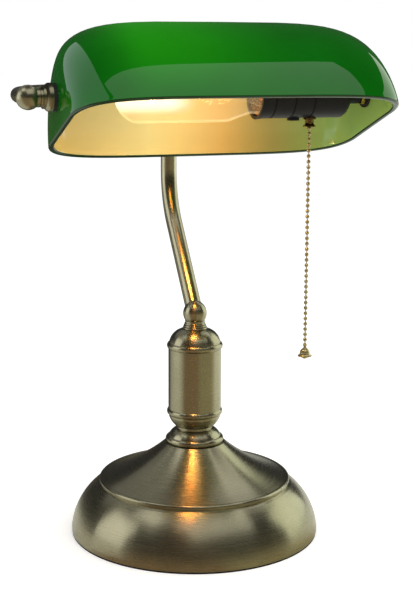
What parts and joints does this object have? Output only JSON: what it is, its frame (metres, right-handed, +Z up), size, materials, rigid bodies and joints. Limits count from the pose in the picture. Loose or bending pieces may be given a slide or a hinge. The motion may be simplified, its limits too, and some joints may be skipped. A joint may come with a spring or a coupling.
{
  "type": "banker desk lamp",
  "caption": "Desk lamp with a tilting green glass trough shade on a brass yoke, a leaning arm, a turned post and round foot, and a pull chain.",
  "frame": {"origin": "middle of the foot's underside, on the desk", "axes": "+Z up, X along the shade, -Y towards the user"},
  "size_m": [0.2618, 0.2092, 0.3658],
  "materials": {
    "antique_brass": "brushed and lacquered, olive brown",
    "yellow_brass": "bright",
    "zinc_steel": "zinc plated",
    "black_plastic": "satin black moulding",
    "rubber": "matt black",
    "felt": "black felt",
    "iron": "as cast",
    "green_glass": "cased glass, glossy green outside and opal inside",
    "ceramic_core": "unglazed",
    "clear_glass": "clear",
    "nickel": "nickel plated",
    "black_glass": "fused insulator",
    "tungsten": "glowing filament"
  },
  "bodies": {
    "stand": {"base_pad": "felt", "base_shell": "antique_brass", "base_weight": "iron", "cord_bushing": "black_plastic", "centre_rod": "zinc_steel", "rod_washer": "zinc_steel", "rod_nut": "zinc_steel", "base_collar": "antique_brass", "post_foot": "antique_brass", "post_tube": "antique_brass", "post_cap": "antique_brass", "arm_foot": "antique_brass", "arm_tube": "antique_brass", "yoke_hub": "antique_brass", "yoke_left": "antique_brass", "yoke_right": "antique_brass", "pivot_ball_left": "antique_brass", "pivot_ball_right": "antique_brass"},
    "shade": {"glass_shade": "green_glass", "left_pin": "zinc_steel", "left_outer_washer": "rubber", "left_flange": "antique_brass", "left_inner_washer": "rubber", "left_lock_nut": "yellow_brass", "right_nipple": "zinc_steel", "right_outer_washer": "rubber", "right_thrust_ring": "antique_brass", "right_inner_washer": "rubber", "right_lock_nut": "yellow_brass", "holder_body": "black_plastic", "holder_cap": "black_plastic", "screw_shell": "yellow_brass", "holder_core": "ceramic_core", "centre_contact": "yellow_brass", "terminal_screws": "zinc_steel", "chain_guide": "yellow_brass", "switch_axle": "zinc_steel", "switch_cam": "yellow_brass", "return_spring": "zinc_steel"},
    "lever": {"switch_lever": "yellow_brass"},
    "bulb": {"bulb_glass": "clear_glass", "bulb_cap": "nickel", "bulb_insulator": "black_glass", "bulb_tip_contact": "nickel", "bulb_stem": "clear_glass", "bulb_filament": "tungsten"},
    "pull": {"chain_head_beads": "yellow_brass", "chain_head_links": "yellow_brass"},
    "chain_top": {"chain_top_bead": "yellow_brass"},
    "chain_upper": {"chain_upper_beads": "yellow_brass", "chain_upper_links": "yellow_brass"},
    "chain_middle": {"chain_middle_bead": "yellow_brass"},
    "chain_lower": {"chain_lower_beads": "yellow_brass", "chain_lower_links": "yellow_brass", "pull_bell": "yellow_brass"}
  },
  "joints": [
    {"name": "shade_tilt", "type": "hinge", "parent": "stand", "child": "shade", "pos_m": [0, -0.0479, 0.3179], "axis": [1, 0, 0], "range_deg": [-24, 45]},
    {"name": "bulb_unscrew", "type": "slide", "parent": "shade", "child": "bulb", "axis": [-1, 0, 0], "range_m": [0, 0.022]},
    {"name": "chain_pull", "type": "slide", "parent": "shade", "child": "pull", "axis": [0, 0, -1], "range_m": [0, 0.008], "stiffness_N_per_m": 300},
    {"name": "switch_turn", "type": "hinge", "parent": "shade", "child": "lever", "pos_m": [0.0752, -0.0479, 0.3179], "axis": [0, -1, 0], "range_deg": [0, 46]},
    {"name": "chain_sway_side", "type": "hinge", "parent": "pull", "child": "chain_top", "pos_m": [0.0654, -0.0479, 0.2952], "axis": [0, 1, 0], "range_deg": [-25, 25]},
    {"name": "chain_sway_front", "type": "hinge", "parent": "chain_top", "child": "chain_upper", "pos_m": [0.0654, -0.0479, 0.2952], "axis": [1, 0, 0], "range_deg": [-50, 30]},
    {"name": "chain_bend_side", "type": "hinge", "parent": "chain_upper", "child": "chain_middle", "pos_m": [0.0654, -0.0479, 0.2196], "axis": [0, 1, 0], "range_deg": [-25, 25]},
    {"name": "chain_bend_front", "type": "hinge", "parent": "chain_middle", "child": "chain_lower", "pos_m": [0.0654, -0.0479, 0.2196], "axis": [1, 0, 0], "range_deg": [-25, 25]}
  ],
  "couplings": [
    {"joint": "switch_turn", "follows": "chain_pull", "rad_per_m": 100.3}
  ]
}
